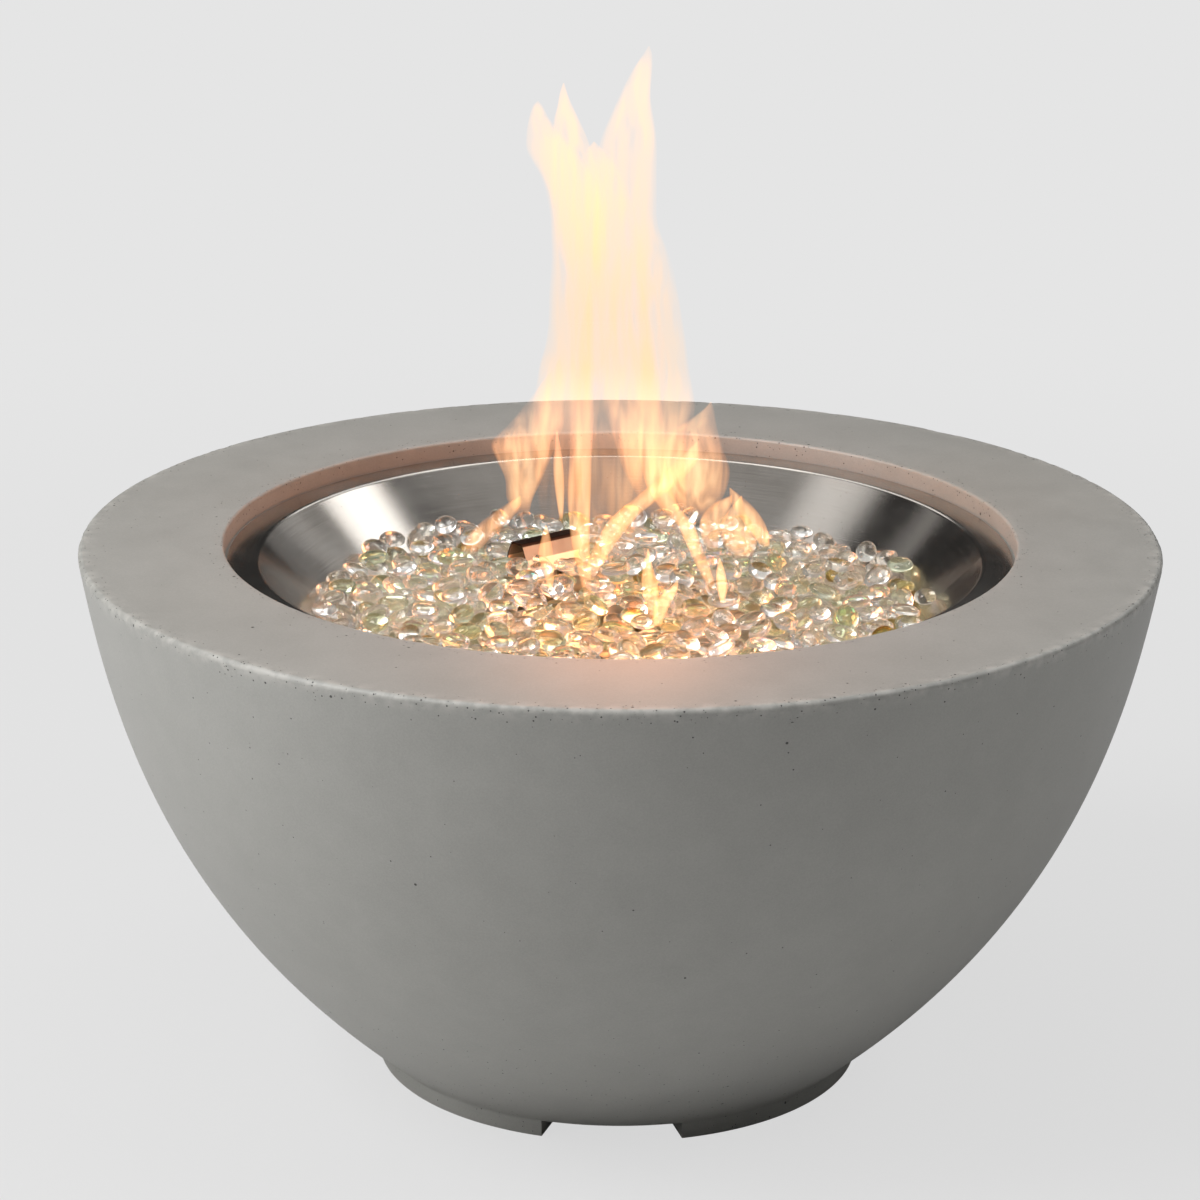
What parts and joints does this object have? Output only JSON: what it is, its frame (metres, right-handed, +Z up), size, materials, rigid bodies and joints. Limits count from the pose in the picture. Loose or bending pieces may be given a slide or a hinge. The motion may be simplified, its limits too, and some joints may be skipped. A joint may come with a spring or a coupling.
{
  "type": "gas fire pit bowl",
  "caption": "Round cast concrete gas fire bowl with a drop-in steel burner pan, ring burner, fire glass, igniter hood and rear control panel.",
  "frame": {"origin": "on the floor under the middle of the bowl", "axes": "+Z up along the bowl's axis, -Y the front with the notch that the picture shows, +Y the back with the control panel"},
  "size_m": [0.7368, 0.7368, 0.376],
  "materials": {
    "concrete": "cast, light grey, fine pinholes",
    "stainless": "spun and brushed",
    "burner_steel": "brushed, heat tinted",
    "heat_tinted": "folded sheet browned by heat",
    "zinc_steel": "zinc plated",
    "pipe_steel": "black malleable iron",
    "brass": "machined",
    "ceramic": "unglazed white",
    "sheath": "drawn sheath, heat tinted",
    "cast_mixer": "die cast",
    "connector": "coated corrugated tube",
    "knob_black": "moulded, fine matt",
    "igniter_black": "moulded",
    "button_red": "moulded",
    "cell_sleeve": "shrunk sleeve",
    "spring_steel": "drawn wire",
    "lead_black": "silicone cover",
    "boot_red": "silicone rubber",
    "copper": "copper capillary",
    "glass_bedding": "tumbled clear glass",
    "glass_clear": "fire polished",
    "glass_green": "fire polished, pale green",
    "glass_amber": "fire polished, amber"
  },
  "bodies": {
    "root": {"bowl_shell": "concrete", "panel_inserts": "brass", "burner_pan": "stainless", "burner_ring": "burner_steel", "burner_saddles": "zinc_steel", "pan_screws": "zinc_steel", "pan_nuts": "zinc_steel", "gas_nipple": "pipe_steel", "nipple_locknuts": "brass", "nipple_washers": "zinc_steel", "pilot_hood": "heat_tinted", "igniter_bracket": "zinc_steel", "electrode_ceramic": "ceramic", "electrode_rod": "sheath", "thermocouple": "sheath", "thermocouple_nut": "brass", "gas_elbow": "pipe_steel", "air_mixer": "cast_mixer", "gas_orifice": "brass", "flare_nuts": "brass", "gas_connector": "connector", "inlet_fitting": "brass", "valve_body": "brass", "valve_magnet": "zinc_steel", "valve_nut": "zinc_steel", "knob_bezel": "stainless", "control_panel": "stainless", "panel_screws": "stainless", "igniter_body": "igniter_black", "igniter_nut": "igniter_black", "battery_cell": "cell_sleeve", "battery_spring": "spring_steel", "ignition_lead": "lead_black", "lead_boots": "boot_red", "thermocouple_lead": "copper", "glass_bed": "glass_bedding", "gems_clear": "glass_clear", "gems_green": "glass_green", "gems_amber": "glass_amber"},
    "shutter": {"air_shutter": "zinc_steel", "shutter_screw": "zinc_steel"},
    "plunger": {"valve_plunger": "zinc_steel"},
    "knob": {"valve_stem": "brass", "control_knob": "knob_black"},
    "cap": {"igniter_cap": "igniter_black"},
    "button": {"igniter_button": "button_red"}
  },
  "joints": [
    {"name": "knob_push", "type": "slide", "parent": "root", "child": "plunger", "axis": [0, -0.8982, 0.4396], "range_m": [0, 0.004], "stiffness_N_per_m": 1500, "springref_m": -0.004},
    {"name": "knob_turn", "type": "hinge", "parent": "plunger", "child": "knob", "pos_m": [0.034, 0.30604, 0.19662], "axis": [0, 0.8982, -0.4396], "range_deg": [0, 180]},
    {"name": "cap_turn", "type": "hinge", "parent": "root", "child": "cap", "pos_m": [-0.034, 0.30604, 0.19662], "axis": [0, 0.8982, -0.4396], "range_deg": [0, 90]},
    {"name": "button_press", "type": "slide", "parent": "cap", "child": "button", "axis": [0, -0.8982, 0.4396], "range_m": [0, 0.003], "stiffness_N_per_m": 800, "springref_m": -0.003},
    {"name": "shutter_turn", "type": "hinge", "parent": "root", "child": "shutter", "pos_m": [0, 0.0553, 0.2507], "axis": [0, 1, 0], "range_deg": [0, 45]}
  ]
}
